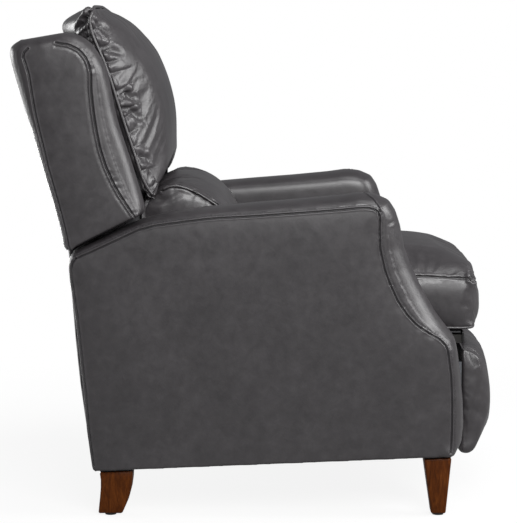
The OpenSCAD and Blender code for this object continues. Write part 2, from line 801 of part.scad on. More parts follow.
arm_cover_right();
arm_cover_left();
arm_panel_right();
arm_panel_left();
sill_right();
sill_left();
front_stretcher();
rear_stretcher();
rear_rail();
front_leg_right();
front_leg_left();
rear_leg_right();
rear_leg_left();
leg_plates();
leg_glides();
base_rail_right();
base_rail_left();
rail_bolts();
base_pins();
front_swing_links();
rear_swing_links();
seat_plate_right();
seat_plate_left();
seat_pins();
seat_side_rail_right();
seat_side_rail_left();
seat_front_rail();
seat_rear_rail();
seat_springs();
seat_deck();
seat_cushion();
front_border();
back_post_right();
back_post_left();
back_rails();
wing_rails();
back_springs();
outside_back();
inner_back_padding();
wing_cover_right();
wing_cover_left();
wing_panel_right();
wing_panel_left();
back_pillow();
lumbar_cushion();
back_bracket_right();
back_bracket_left();
bracket_screws();
main_link_right();
main_link_left();
drive_tube();
main_link_pins();
upper_links();
lower_links();
footrest_bracket_right();
footrest_bracket_left();
footrest_board();
footrest_screws();
footrest_cushion();
footrest_pins();
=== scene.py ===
# High leg push-back recliner: leather, walnut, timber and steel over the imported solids.
# Metres, Z up, the chair faces -Y. Side profiles are [u, z] in millimetres, u forward.
import json
import math

import bmesh
import bpy
import numpy as np
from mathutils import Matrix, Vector
from mathutils.bvhtree import BVHTree


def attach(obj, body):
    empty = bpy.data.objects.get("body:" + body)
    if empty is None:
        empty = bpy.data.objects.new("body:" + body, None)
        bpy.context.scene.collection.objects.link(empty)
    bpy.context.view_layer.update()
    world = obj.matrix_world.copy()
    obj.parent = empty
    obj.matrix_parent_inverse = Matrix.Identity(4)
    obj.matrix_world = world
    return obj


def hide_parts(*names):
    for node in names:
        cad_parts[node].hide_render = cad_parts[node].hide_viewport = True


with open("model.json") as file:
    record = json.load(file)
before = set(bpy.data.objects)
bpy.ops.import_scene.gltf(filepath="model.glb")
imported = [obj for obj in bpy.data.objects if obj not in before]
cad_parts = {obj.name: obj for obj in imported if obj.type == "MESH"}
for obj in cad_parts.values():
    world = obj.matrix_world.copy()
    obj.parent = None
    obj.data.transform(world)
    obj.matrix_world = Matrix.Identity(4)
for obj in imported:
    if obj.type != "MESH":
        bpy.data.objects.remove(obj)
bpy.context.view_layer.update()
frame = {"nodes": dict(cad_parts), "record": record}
midShift = 11.5  # the profiles' middle plane, in mm behind the frame's origin
scene = bpy.context.scene
scene.view_settings.view_transform = "Standard"
print("frame loaded, nodes:", len(frame["nodes"]))


def spot(x, u, z):
    return Vector((x / 1000, -(u + midShift) / 1000, z / 1000))


def sideLine(x, profile):
    return [spot(x, u, z) for u, z in profile]


def onSide(sign, places):
    return [spot(sign * x, u, z) for x, u, z in places]


def ramp(values, start, length):
    # from 0 at the start to 1 past a length, which may run downwards
    return np.clip((values - start) / length, 0, 1)


def pick(obj):
    bpy.ops.object.select_all(action="DESELECT")
    obj.select_set(True)
    bpy.context.view_layer.objects.active = obj


def setAll(thing, **settings):
    for key, value in settings.items():
        setattr(thing, key, value)


def linked(name, data):
    obj = bpy.data.objects.new(name, data)
    scene.collection.objects.link(obj)
    return obj


def aimed(name, data, place, toward):
    obj = linked(name, data)
    obj.location = place
    obj.rotation_mode = "QUATERNION"
    obj.rotation_quaternion = toward.to_track_quat("-Z", "Y")
    return obj


def useModifier(obj, kind, **settings):
    mod = obj.modifiers.new(kind.lower(), kind)
    setAll(mod, **settings)
    pick(obj)
    bpy.ops.object.modifier_apply(modifier=mod.name)


def readVectors(items, name):
    flat = np.empty(len(items) * 3, np.float32)
    items.foreach_get(name, flat)
    return flat.reshape(-1, 3).astype(float)


def readPoints(obj):
    return readVectors(obj.data.vertices, "co")


def readSkin(obj):
    return readPoints(obj), readVectors(obj.data.vertices, "normal")


def writePoints(obj, points):
    obj.data.vertices.foreach_set("co", points.astype(np.float32).ravel())
    obj.data.update()


# Finishes

def feed(tree, node, sockets):
    for key, value in sockets.items():
        if isinstance(value, bpy.types.NodeSocket):
            tree.links.new(value, node.inputs[key])
        else:
            node.inputs[key].default_value = value


def addNode(tree, kind, sockets=None, **settings):
    node = tree.nodes.new("ShaderNode" + kind)
    setAll(node, **settings)
    feed(tree, node, sockets or {})
    return node


def startFinish(name):
    finish = bpy.data.materials.new(name)
    finish.use_nodes = True
    tree = finish.node_tree
    tree.nodes.clear()
    shader = addNode(tree, "BsdfPrincipled")
    addNode(tree, "OutputMaterial", {"Surface": shader.outputs["BSDF"]})
    place = addNode(tree, "TexCoord").outputs["Object"]
    return finish, tree, shader, place


def tone(r, g, b):
    def lift(c):
        c /= 255
        return c / 12.92 if c <= 0.04045 else ((c + 0.055) / 1.055) ** 2.4
    return (lift(r), lift(g), lift(b), 1)


def blendTones(tree, fac, stops):
    blend = addNode(tree, "ValToRGB", {"Fac": fac})
    band = blend.color_ramp
    while len(band.elements) < len(stops):
        band.elements.new(0.5)
    for mark, (place, colour) in zip(band.elements, stops):
        mark.position = place
        mark.color = tone(*colour)
    return blend.outputs["Color"]


def mixTone(tree, fac, first, second):
    return addNode(tree, "Mix", {0: fac, 6: first, 7: second}, data_type="RGBA").outputs[2]


def combine(tree, first, second, way="MULTIPLY"):
    return addNode(tree, "Math", {0: first, 1: second}, operation=way).outputs[0]


def noise(tree, place, scale, detail, roughness=0.5, distortion=0.0):
    return addNode(tree, "TexNoise", {"Vector": place, "Scale": scale, "Detail": detail,
                                      "Roughness": roughness, "Distortion": distortion}).outputs["Fac"]


def spread(tree, value, low, high):
    # a noise's middle range, stretched over a range of its own
    return addNode(tree, "MapRange", {"Value": value, "From Min": 0.3, "From Max": 0.7,
                                      "To Min": low, "To Max": high}).outputs[0]


def emboss(tree, shader, *layers):
    # bumps on top of each other, each [height, strength, distance], or dents where the distance is below 0
    under = {}
    for height, strength, distance in layers:
        sockets = {"Height": height, "Strength": strength, "Distance": abs(distance)} | under
        bump = addNode(tree, "Bump", sockets, invert=distance < 0)
        under = {"Normal": bump.outputs[0]}
    feed(tree, shader, under)


leatherLook = {
    # the worn tone lightens ridges: partly wear, partly a painted highlight
    "deep": (39, 36, 38), "body": (47, 44, 46), "lifted": (56, 53, 55), "wornAndSheen": (84, 81, 84),
    # the crease tone is painted shade for the troughs of creases and seam grooves
    "shadedCrease": (22, 21, 23), "cloudScale": 7.0, "mottleScale": 45.0, "grainScale": 620.0,
    "roughLow": 0.35, "roughHigh": 0.45, "shine": 0.75,
    "slowScale": 24, "slowHeight": 0.0007, "lineScale": 150, "lineHeight": 0.0001, "grainHeight": 0.0001,
}
# the border below the seat is given a plainer and darker hide: painted shade for the recess it sits in
shadedBorderLook = leatherLook | {"deep": (20, 19, 20), "body": (25, 24, 25), "lifted": (30, 29, 30),
                            "wornAndSheen": (34, 33, 34), "shine": 0.3}


def makeLeather(name, look):
    finish, tree, shader, place = startFinish(name)
    cloud = noise(tree, place, look["cloudScale"], 5, 0.62, 0.6)
    mottle = noise(tree, place, look["mottleScale"], 6, 0.7, 0.3)
    both = combine(tree, combine(tree, cloud, mottle, "ADD"), 0.5)
    base = blendTones(tree, both, [(0.36, look["deep"]), (0.5, look["body"]), (0.64, look["lifted"])])
    # the ridges marked in the wear layer are painted lighter: partly wear, partly painted highlight
    wearAndSheen = addNode(tree, "Attribute", attribute_name="wearAndSheen").outputs["Fac"]
    wearAndSheenPatches = combine(tree, wearAndSheen, mottle)
    wornAndSheen = mixTone(tree, wearAndSheenPatches, base, tone(*look["wornAndSheen"]))
    # the troughs marked in the fold layer are painted darker: painted shade
    shade = addNode(tree, "Attribute", attribute_name="foldShade").outputs["Fac"]
    feed(tree, shader, {"Base Color": mixTone(tree, shade, wornAndSheen, tone(*look["shadedCrease"])),
                        "Roughness": spread(tree, mottle, look["roughLow"], look["roughHigh"]),
                        "Specular IOR Level": look["shine"]})
    # the slow hollows of a pulled hide, fine creasing and pebble grain
    slow = noise(tree, place, look["slowScale"], 3, 0.5, 0.8)
    lines = noise(tree, place, look["lineScale"], 4, 0.6, 0.3)
    cells = addNode(tree, "TexVoronoi", {"Vector": place, "Scale": look["grainScale"]}).outputs["Distance"]
    emboss(tree, shader, (slow, 0.5, look["slowHeight"]), (lines, 0.4, look["lineHeight"]),
           (cells, 0.3, -look["grainHeight"]))
    return finish


woodLooks = {
    "walnutStain": {
        "tones": [(0.3, (48, 20, 4)), (0.5, (82, 40, 9)), (0.72, (112, 60, 20))],
        "stretch": (60, 60, 5), "figure": (1.2, 6, 0.6, 1.8), "fibres": (9, 4, 0.7), "share": 0.35,
        "rough": 0.42, "shine": 0.12, "coat": 0.02, "bump": (0.3, 0.0004)},
    "frameTimber": {
        "tones": [(0.3, (158, 122, 80)), (0.52, (188, 152, 106)), (0.75, (210, 180, 138))],
        "stretch": (6, 6, 45), "figure": (1.5, 5, 0.6, 1.2), "fibres": (14, 3), "share": 0.4,
        "rough": 0.68, "shine": 0.5, "coat": 0.0, "bump": (0.4, 0.0005)},
}
# near-black timber tones, painted shade for the frame seen through the gaps
gapShadeTones = [(0.3, (13, 11, 10)), (0.52, (19, 16, 14)), (0.75, (26, 22, 20))]


def makeWood(name, look):
    finish, tree, shader, place = startFinish(name)
    along = addNode(tree, "Mapping", {"Vector": place, "Scale": look["stretch"]}).outputs[0]
    figure = noise(tree, along, *look["figure"])
    fibres = noise(tree, along, *look["fibres"])
    mixed = addNode(tree, "Mix", {0: look["share"], 2: figure, 3: fibres}).outputs[0]
    feed(tree, shader, {"Base Color": blendTones(tree, mixed, look["tones"]), "Roughness": look["rough"],
                        "Specular IOR Level": look["shine"], "Coat Weight": look["coat"],
                        "Coat Roughness": 0.25})
    emboss(tree, shader, (fibres, *look["bump"]))
    return finish


steelLook = {"dark": (96, 98, 102), "light": (128, 130, 134), "roughLow": 0.34, "roughHigh": 0.5,
             "metallic": 0.9, "patchScale": 40, "drawnScale": 900}


def makeSteel(name, look):
    finish, tree, shader, place = startFinish(name)
    patch = noise(tree, place, look["patchScale"], 5, 0.65)
    colour = blendTones(tree, patch, [(0.3, look["dark"]), (0.7, look["light"])])
    feed(tree, shader, {"Base Color": colour, "Metallic": look["metallic"],
                        "Roughness": spread(tree, patch, look["roughLow"], look["roughHigh"])})
    emboss(tree, shader, (noise(tree, place, look["drawnScale"], 2), 0.2, 0.0002))
    return finish


plainLooks = {
    "blackLining": {"noise": (320, 5, 0.8), "tones": [(0.35, (40, 40, 42)), (0.65, (66, 65, 67))],
                    "rough": 0.95, "bump": (0.6, 0.001)},
    "glidePlastic": {"noise": (500, 3), "tones": [(0.3, (20, 20, 20)), (0.7, (34, 33, 32))],
                     "rough": 0.5, "bump": (0.2, 0.0003)},
    "seamThread": {"noise": (1400, 2), "tones": [(0.3, (36, 35, 36)), (0.7, (74, 72, 74))],
                   "rough": 0.55, "bump": None},
}


def makePlain(name, look):
    finish, tree, shader, place = startFinish(name)
    speck = noise(tree, place, *look["noise"])
    feed(tree, shader, {"Base Color": blendTones(tree, speck, look["tones"]), "Roughness": look["rough"]})
    if look["bump"]:
        emboss(tree, shader, (speck, *look["bump"]))
    return finish


charcoalLeather = makeLeather("charcoalLeather", leatherLook)
shadedBorderLeather = makeLeather("shadedBorderLeather", shadedBorderLook)
walnutStain, frameTimber = [makeWood(name, woodLooks[name]) for name in woodLooks]
gapShadeTimber = makeWood("gapShadeTimber", woodLooks["frameTimber"] | {"tones": gapShadeTones})
platedSteel = makeSteel("platedSteel", steelLook)
blackLining, glidePlastic, seamThread = [makePlain(name, plainLooks[name]) for name in plainLooks]
finishOf = {"leather": charcoalLeather, "walnut": walnutStain, "timber": frameTimber,
            "steel": platedSteel, "fabric": blackLining, "plastic": glidePlastic}

# timber that shows through the gaps is made near black: painted shade in the gaps
gapShadeNodes = ("back_post", "back_rails", "wing_rails", "seat_side", "seat_front", "seat_rear",
             "footrest_board", "front_stretcher", "rear_stretcher", "rear_rail")
slotOf = {p["node"]: p["material_slot"] for p in frame["record"]["subparts"]}
for nodeName, node in frame["nodes"].items():
    node.data.materials.clear()
    dark = nodeName.startswith(gapShadeNodes)
    node.data.materials.append(gapShadeTimber if dark else finishOf[slotOf[nodeName]])
print("finishes made")


# Working on skins

def copyOf(nodeName, name):
    solid = bmesh.new()
    solid.from_mesh(frame["nodes"][nodeName].data)
    bmesh.ops.remove_doubles(solid, verts=solid.verts, dist=1e-5)
    mesh = bpy.data.meshes.new(name)
    solid.to_mesh(mesh)
    solid.free()
    for layer in [a for a in mesh.attributes if a.name == "custom_normal"]:
        mesh.attributes.remove(layer)
    return linked(name, mesh)


def startSkin(nodeName, name, fit, inPocket=None):
    # a solid's skin, closed over the pockets it is hollowed out for
    skin = copyOf(nodeName, name)
    if inPocket:
        closePockets(skin, inPocket)
    grid = fit["grid"] * 1
    useModifier(skin, "REMESH", mode="VOXEL", voxel_size=grid, adaptivity=0, use_smooth_shade=True)
    useModifier(skin, "SMOOTH", factor=0.5, iterations=fit["passes"])
    return skin


def middleOf(face):
    # in the profiles' millimetres, alike on both sides
    x, y, z = face.calc_center_median() * 1000
    return abs(x), -y - midShift, z


def within(value, limits):
    return limits[0] < value < limits[1]


def inPanel(face, fit):
    return all(abs(abs(v.co.x) * 1000 - fit["panelX"]) < fit["panelHalf"] for v in face.verts)


def closePockets(obj, inside):
    # the CAD cover is hollowed round its timber; the dressed one is solid there
    shell = bmesh.new()
    shell.from_mesh(obj.data)
    gone = [f for f in shell.faces if inside(f)]
    bmesh.ops.delete(shell, geom=gone, context="FACES")
    rims = [e for e in shell.edges if e.is_boundary]
    bmesh.ops.holes_fill(shell, edges=rims, sides=0)
    bmesh.ops.recalc_face_normals(shell, faces=shell.faces)
    shell.to_mesh(obj.data)
    shell.free()


def doubled(obj):
    # fine enough for folds
    useModifier(obj, "SUBSURF", levels=1, render_levels=1)


def swell(obj, amount, rear):
    # smoothing draws a skin in at its edges; this brings it back out, more so at the rear
    points, normals = readSkin(obj)
    grown = amount + rear * np.clip(normals[:, 1], 0, 1)
    grown[normals[:, 2] < -0.6] = 0
    writePoints(obj, points + normals * grown[:, None])


def refine(obj, lines, bands):
    # a finer mesh along the seams, one cut for each band
    for band in bands:
        centres = readVectors(obj.data.polygons, "center")
        gap = np.full(len(centres), farAway)
        tree = skinTree(obj)
        for line in lines:
            path = laidOn(tree, spaced(line, seamStep))
            near = boxedIn(centres, path, band)
            gap[near] = np.minimum(gap[near], distanceTo(path, centres[near])[0])
        pick(obj)
        for items in (obj.data.vertices, obj.data.edges):
            items.foreach_set("select", np.zeros(len(items), bool))
        obj.data.polygons.foreach_set("select", gap < band)
        bpy.ops.object.mode_set(mode="EDIT")
        bpy.ops.mesh.select_mode(type="FACE")
        bpy.ops.mesh.subdivide(number_cuts=1)
        bpy.ops.mesh.select_mode(type="VERT")
        bpy.ops.object.mode_set(mode="OBJECT")


def skinTree(obj):
    return BVHTree.FromPolygons([v.co for v in obj.data.vertices],
                                [tuple(p.vertices) for p in obj.data.polygons])


coarseStep, seamStep, foldStep, puckerStep = 0.015, 0.012, 0.006, 0.004
farAway = 1e9


def spaced(points, step):
    ends = np.array([tuple(p) for p in points], float)
    run = np.concatenate([[0], np.cumsum(np.linalg.norm(np.diff(ends, axis=0), axis=1))])
    count = max(2, int(round(run[-1] / step)) + 1)
    at = np.linspace(0, run[-1], count)
    return np.stack([np.interp(at, run, ends[:, k]) for k in range(3)], axis=1)


def eased(points, turns):
    # rounds off the corners of a measured line
    line = np.array([tuple(p) for p in points], float)
    for _ in range(turns):
        mid = 0.75 * line[:-1] + 0.25 * line[1:], 0.25 * line[:-1] + 0.75 * line[1:]
        inner = np.stack(mid, axis=1).reshape(-1, 3)
        line = np.vstack([line[:1], inner, line[-1:]])
    return line


def laidOn(tree, line, lift=0.0):
    found = [tree.find_nearest(Vector(p)) for p in line]
    return np.array([tuple(hit + normal * lift) for hit, normal, _, _ in found])


def distanceTo(line, points):
    # distance to a polyline, and how far along it the nearest place is, 0 to 1
    best = np.full(len(points), farAway)
    share = np.zeros(len(points))
    for k in range(len(line) - 1):
        a, d = line[k], line[k + 1] - line[k]
        t = np.clip(((points - a) @ d) / max(d @ d, 1e-12), 0, 1)
        gap = np.linalg.norm(points - (a + t[:, None] * d), axis=1)
        nearer = gap < best
        best[nearer] = gap[nearer]
        share[nearer] = (k + t[nearer]) / (len(line) - 1)
    return best, share


def gapTo(lines, points):
    # distance to the nearest of several lines
    gap = np.full(len(points), farAway)
    for line in lines:
        gap = np.minimum(gap, distanceTo(spaced(line, coarseStep), points)[0])
    return gap


def boxedIn(points, line, reach):
    # which points lie in the line's box, widened by a reach
    inside = (points > line.min(0) - reach) & (points < line.max(0) + reach)
    return np.where(np.all(inside, axis=1))[0]


def raiseLayer(obj, name, where, fresh):
    # the leather's finish reads these: ridges painted lighter, partly wear and partly painted highlight, and
    # troughs painted darker as painted shade; each keeps the larger of its old and its new value
    layer = obj.data.attributes.get(name) or obj.data.attributes.new(name, "FLOAT", "POINT")
    values = np.zeros(len(obj.data.vertices), np.float32)
    layer.data.foreach_get("value", values)
    values[where] = np.maximum(values[where], fresh)
    layer.data.foreach_set("value", np.clip(values, 0, 1))


# a mark's ridge runs beside its trough, at shares of the mark's width; a tapered one fades to its ends
markShape = {"reach": 3.4, "ridgeAt": 2.0, "ridgeWide": 0.85, "start": 0.12, "taper": 0.7}


def press(obj, marks):
    # marks are [line, width, depth, lip, tapered, lighter ridge (wear and painted highlight), darker trough
    # (painted shade)]; lines are laid on the skin first
    tree = skinTree(obj)
    points, normals = readSkin(obj)
    shift = np.zeros(len(points))
    wearAndSheenAt, foldShadeAt = np.zeros(len(points)), np.zeros(len(points))
    for line, width, depth, lip, tapered, wearAndSheen, foldShade in marks:
        path = laidOn(tree, spaced(line, foldStep if tapered else seamStep))
        near = boxedIn(points, path, width * markShape["reach"])
        gap, share = distanceTo(path, points[near])
        trough = np.exp(-(gap / width) ** 2)
        ridge = np.exp(-((gap / width - markShape["ridgeAt"]) / markShape["ridgeWide"]) ** 2)
        along = markShape["start"] + (1 - markShape["start"]) * share
        fade = np.sin(np.pi * np.clip(along, 0, 1)) ** markShape["taper"] if tapered else 1.0
        shift[near] += (lip * ridge - depth * trough) * fade
        wearAndSheenAt[near] = np.maximum(wearAndSheenAt[near], wearAndSheen * ridge * fade)
        # the trough is painted darker, as painted shade
        foldShadeAt[near] = np.maximum(foldShadeAt[near], foldShade * trough ** 2 * fade)
    writePoints(obj, points + normals * shift[:, None])
    raiseLayer(obj, "wearAndSheen", slice(None), wearAndSheenAt)
    raiseLayer(obj, "foldShade", slice(None), foldShadeAt)


def puff(obj, seams, fit, steady):
    # stuffing: cloth under pressure, held along its seams and where it rests on something
    skin, normals = readSkin(obj)
    gap = gapTo(seams, skin)
    kept = steady(skin, normals)
    free = 1 - np.exp(-(gap / fit["freeFrom"]) ** 2)
    free[kept] = 0
    start = skin - normals * (fit["inset"] * free)[:, None]
    writePoints(obj, start)
    held = np.where((gap < fit["grip"]) | kept)[0]
    group = obj.vertex_groups.new(name="held")
    group.add([int(i) for i in held], 1.0, "REPLACE")
    mod = obj.modifiers.new("stuffing", "CLOTH")
    setAll(mod.settings, quality=fit["quality"], mass=fit["mass"], tension_stiffness=fit["stiff"],
           compression_stiffness=fit["stiff"], shear_stiffness=fit["stiff"] * fit["shear"],
           bending_stiffness=fit["bend"], use_pressure=True, uniform_pressure_force=fit["pressure"],
           shrink_min=-fit["spare"], vertex_group_mass="held")
    mod.settings.effector_weights.gravity = 0
    setAll(mod.collision_settings, use_collision=False, use_self_collision=False)
    setAll(mod.point_cache, frame_start=1, frame_end=fit["steps"])
    for step in range(1, fit["steps"] + 1):
        scene.frame_set(step)
    pick(obj)
    bpy.ops.object.modifier_apply(modifier=mod.name)
    moved = readPoints(obj) - start
    length = np.linalg.norm(moved, axis=1)
    moved *= np.minimum(1, fit["cap"] / np.maximum(length, 1e-9))[:, None]
    result = start + moved
    # it may stand proud of its solid by only a little
    proud = np.einsum("ij,ij->i", result - skin, normals)
    result -= normals * np.maximum(proud - fit["proud"], 0)[:, None]
    writePoints(obj, result)
    obj.vertex_groups.clear()
    scene.frame_set(1)


def keepWithin(obj, half):
    points = readPoints(obj)
    points[:, 0] = np.clip(points[:, 0], -half / 1000, half / 1000)
    writePoints(obj, points)


def evenOut(obj, lines, reach, passes, nearLines=False):
    # smooths a skin away from its seams, or only along them
    share = np.exp(-(gapTo(lines, readPoints(obj)) / reach) ** 2)
    share = share if nearLines else 1 - share
    group = obj.vertex_groups.new(name="evened")
    for step in range(1, 11):
        held = np.where(np.round(share * 10) == step)[0]
        if len(held):
            group.add([int(i) for i in held], step / 10, "REPLACE")
    useModifier(obj, "SMOOTH", factor=0.5, iterations=passes, vertex_group="evened")
    obj.vertex_groups.clear()


def fill(obj, places):
    # more or less stuffing round places in the side view: [u, z, reach, rise] in mm
    points, normals = readSkin(obj)
    u, z = -points[:, 1] * 1000 - midShift, points[:, 2] * 1000
    shift = np.zeros(len(points))
    for midU, midZ, reach, rise in places:
        shift += rise / 1000 * np.exp(-((u - midU) ** 2 + (z - midZ) ** 2) / reach ** 2)
    writePoints(obj, points + normals * shift[:, None])


def crownPanel(obj, lines, side, low, rise, reach):
    # a flat outside panel is padded: it swells between its seams
    points, normals = readSkin(obj)
    outer = np.where((normals[:, 0] * side > 0.75) & (points[:, 0] * side > low / 1000))[0]
    points[outer, 0] += side * rise * (1 - np.exp(-gapTo(lines, points[outer]) / reach))
    writePoints(obj, points)


# how far the folds of one row, and the puckers of one seam, differ from each other
foldRange = {"pitch": (0.6, 1.5), "depth": (0.45, 1.25), "length": (0.55, 1.3), "lean": (-0.3, 0.3)}
puckerRange = {"pitch": (0.55, 1.5), "depth": (0.5, 1.2), "length": (0.55, 1.25), "width": (0.7, 1.2),
               "lean": (-0.35, 0.35), "bow": (-0.12, 0.12)}


def ruffle(obj, seam, forward, look, seed):
    # leather gathered into a seam: round ridges with narrow valleys that run off from it
    dice = np.random.default_rng(seed)
    line = laidOn(skinTree(obj), spaced(seam, foldStep))
    total = float(np.linalg.norm(np.diff(line, axis=0), axis=1).sum())
    edges = [0.0]
    while edges[-1] < total + look["pitch"]:
        edges.append(edges[-1] + look["pitch"] * dice.uniform(*foldRange["pitch"]))
    edges = np.array(edges)
    middles = (edges[:-1] + edges[1:]) / 2
    depths = look["depth"] * dice.uniform(*foldRange["depth"], len(middles))
    lengths = look["length"] * dice.uniform(*foldRange["length"], len(middles))
    leans = dice.uniform(*foldRange["lean"], len(middles))
    points, normals = readSkin(obj)
    far = look["length"] * 1.4
    near = boxedIn(points, line, far)
    gap, share = distanceTo(line, points[near])
    at = np.clip((share * (len(line) - 1)).round().astype(int), 0, len(line) - 1)
    ahead = (points[near] - line[at]) @ (np.array(forward, float) / np.linalg.norm(forward))
    kept = (gap < far) & (ahead > -0.2 * gap)
    near, gap, share = near[kept], gap[kept], share[kept]
    place = share * total
    place += gap * np.interp(place, middles, leans)
    own = np.clip(np.searchsorted(edges, place) - 1, 0, len(middles) - 1)
    phase = np.clip((place - edges[own]) / (edges[own + 1] - edges[own]), 0, 1)
    ridge = np.sin(np.pi * phase) ** 0.65
    depth, length = np.interp(place, middles, depths), np.interp(place, middles, lengths)
    ends = np.clip(np.minimum(place, total - place) / look["pitch"] + 0.3, 0, 1)
    fade = ramp(gap, 0, puckerStep) * np.clip(1 - gap / length, 0, 1) ** 1.1 * ends
    points[near] += normals[near] * (depth * fade * (ridge - 0.72))[:, None]
    writePoints(obj, points)
    # crests are painted lighter, partly wear and partly painted highlight; valleys are painted darker, as
    # painted shade
    raiseLayer(obj, "wearAndSheen", near, look["wearAndSheen"] * ridge ** 3 * fade)
    raiseLayer(obj, "foldShade", near, look["foldShade"] * (1 - ridge) ** 2 * fade)


def gathered(seam, toward, every, length, width, depth, seed, wearAndSheen, foldShade):
    # short puckers that run from a seam towards the middle of a panel
    dice = np.random.default_rng(seed)
    line = spaced(seam, puckerStep)
    inward = np.array(toward, float) / np.linalg.norm(toward)
    last = len(line) - 1
    total = puckerStep * last
    marks, at = [], every * 0.6
    while at < total - every * 0.4:
        k = int(at / total * last)
        tangent = line[min(k + 1, last)] - line[max(k - 1, 0)]
        tangent /= max(np.linalg.norm(tangent), 1e-9)
        long = length * dice.uniform(*puckerRange["length"])
        lean = dice.uniform(*puckerRange["lean"])
        start = line[k]
        end = start + (inward + tangent * lean) * long
        bow = (start + end) / 2 + tangent * dice.uniform(*puckerRange["bow"]) * long
        wide = width * dice.uniform(*puckerRange["width"])
        deep = depth * dice.uniform(*puckerRange["depth"])
        # each pucker's ridge is painted lighter (wear and painted highlight), its trough darker (painted
        # shade)
        marks.append(([start, bow, end], wide, deep, deep * 0.45, True, wearAndSheen, foldShade))
        at += every * dice.uniform(*puckerRange["pitch"])
    return marks


def weltRun(obj, line, lift):
    # a seam's line, eased and laid on the skin, then lifted off it
    tree = skinTree(obj)
    path = spaced(eased(line, 2), foldStep)
    for height in (0.0, lift):
        path = laidOn(tree, path, height)
        for _ in range(4):
            path[1:-1] = 0.25 * path[:-2] + 0.5 * path[1:-1] + 0.25 * path[2:]
    return path


def lineCurve(name, path):
    curve = bpy.data.curves.new(name, "CURVE")
    curve.dimensions = "3D"
    run = curve.splines.new("POLY")
    run.points.add(len(path) - 1)
    run.points.foreach_set("co", np.hstack([path, np.ones((len(path), 1))]).ravel())
    return linked(name, curve)


def cording(name, path, radius):
    # a covered welt laid along a seam, swept as a tube
    welt = lineCurve(name, path)
    setAll(welt.data, bevel_depth=radius, bevel_resolution=3, use_fill_caps=True)
    pick(welt)
    bpy.ops.object.convert(target="MESH")
    welt = bpy.context.view_layer.objects.active
    useModifier(welt, "WELD", merge_threshold=1e-6)
    bpy.ops.object.shade_smooth()
    return welt


stitchLook = {"pitch": 0.0062, "length": 0.0042, "thick": 0.0011, "round": 0.28, "sink": 0.0001}


def stitching(name, obj, line):
    # one stitch is modelled, arrayed and run along the line
    path = laidOn(skinTree(obj), spaced(eased(line, 1), foldStep), stitchLook["sink"])
    total = float(np.linalg.norm(np.diff(path, axis=0), axis=1).sum())
    guide = lineCurve(f"{name}Path", path)
    guide.data.twist_mode = "Z_UP"
    bpy.ops.mesh.primitive_cube_add(size=1)
    row = bpy.context.active_object
    row.name = name
    bpy.ops.object.mode_set(mode="EDIT")
    bpy.ops.mesh.select_all(action="SELECT")
    bpy.ops.mesh.bevel(offset=stitchLook["round"], segments=1, affect="EDGES")
    bpy.ops.transform.resize(value=(stitchLook["length"], stitchLook["thick"], stitchLook["thick"]))
    bpy.ops.transform.translate(value=(stitchLook["pitch"] / 2, 0, 0))
    bpy.ops.object.mode_set(mode="OBJECT")
    useModifier(row, "ARRAY", fit_type="FIXED_COUNT", count=int(total / stitchLook["pitch"]),
                use_relative_offset=False, use_constant_offset=True,
                constant_offset_displace=(stitchLook["pitch"], 0, 0))
    useModifier(row, "CURVE", object=guide, deform_axis="POS_X")
    bpy.data.objects.remove(guide)
    pick(row)
    bpy.ops.object.shade_smooth()
    return row


def dress(obj, body, slotName, replaced=None, finish=None):
    obj.data.materials.clear()
    obj.data.materials.append(finish or finishOf[slotName])
    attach(obj, body)
    if replaced:
        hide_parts(replaced)


def insetLine(profile, distance):
    # a profile moved sideways by a distance, to the right of its run
    line = np.array(profile, float)
    run = np.gradient(line, axis=0)
    run /= np.maximum(np.linalg.norm(run, axis=1), 1e-9)[:, None]
    return [tuple(p) for p in line + np.stack([run[:, 1], -run[:, 0]], axis=1) * distance]


# Camera at the photograph's place

cameraSet = {"place": (-4.400, -0.0095, 1.031), "down": 6.94, "yaw": 0.09, "lens": 133.745}
down, yaw = math.radians(cameraSet["down"]), math.radians(cameraSet["yaw"])
look = Vector((math.cos(down) * math.cos(yaw), math.cos(down) * math.sin(yaw), -math.sin(down)))
lensData = bpy.data.cameras.new("photoCamera")
setAll(lensData, lens=cameraSet["lens"], sensor_width=36, clip_end=60)
photoCamera = aimed("photoCamera", lensData, cameraSet["place"], look)
scene.camera = photoCamera


# Arms

armSeam = [
    (-355, 112), (-364, 187), (-370, 270), (-378, 350), (-386, 433), (-397, 510), (-397, 538),
    (-388, 550), (-362, 561), (-329, 576), (-293, 593), (-259, 609), (-225, 618), (-190, 623),
    (-111, 633), (-20, 638), (80, 645), (160, 651), (200, 655), (224, 655), (238, 650), (243, 638),
    (242, 608), (244, 568), (255, 521), (268, 489), (281, 461), (299, 434), (321, 410), (347, 393),
    (371, 380), (386, 362), (394, 304), (397, 245), (397, 190), (396, 155), (393, 140)]
# what the arms' and the wings' covers have in common
coverSet = {"grid": 0.0040, "swell": 0.0008, "rearSwell": 0.0022, "bands": (0.009, 0.0045),
            "innerBands": (0.007,)}
armSet = coverSet | {
    "outer": 400, "inner": 270, "passes": 9, "panelX": 339, "panelHalf": 9.6, "sillX": 347, "sillHalf": 38.5,
    "sillRun": (-341, 381), "sillRise": (0.6, 33), "holesAt": (-95, 150), "holeZ": 234.5,
    "holeReach": 5.2, "holeRun": (270.5, 331), "floor": (98, 354, 31, 750), "underLift": 1.5,
    "underTop": 0.15, "stitchIn": -5.5, "padding": 0.0045, "turn": 0.030, "topReach": 0.026,
    "topPasses": 60, "stuffing": 0.8, "fill": [(393, 136, 16, 4)]}
armMitre = [(399, 243, 648), (388, 233, 665), (368, 221, 677), (344, 214, 682), (322, 213, 682)]
nosePucker = [(396, 262, 622), (384, 284, 628)]


def armFloor(u):
    # the arm's bottom edge rises towards the front
    low, behind, rise, run = armSet["floor"]
    return low + (u + behind) * rise / run


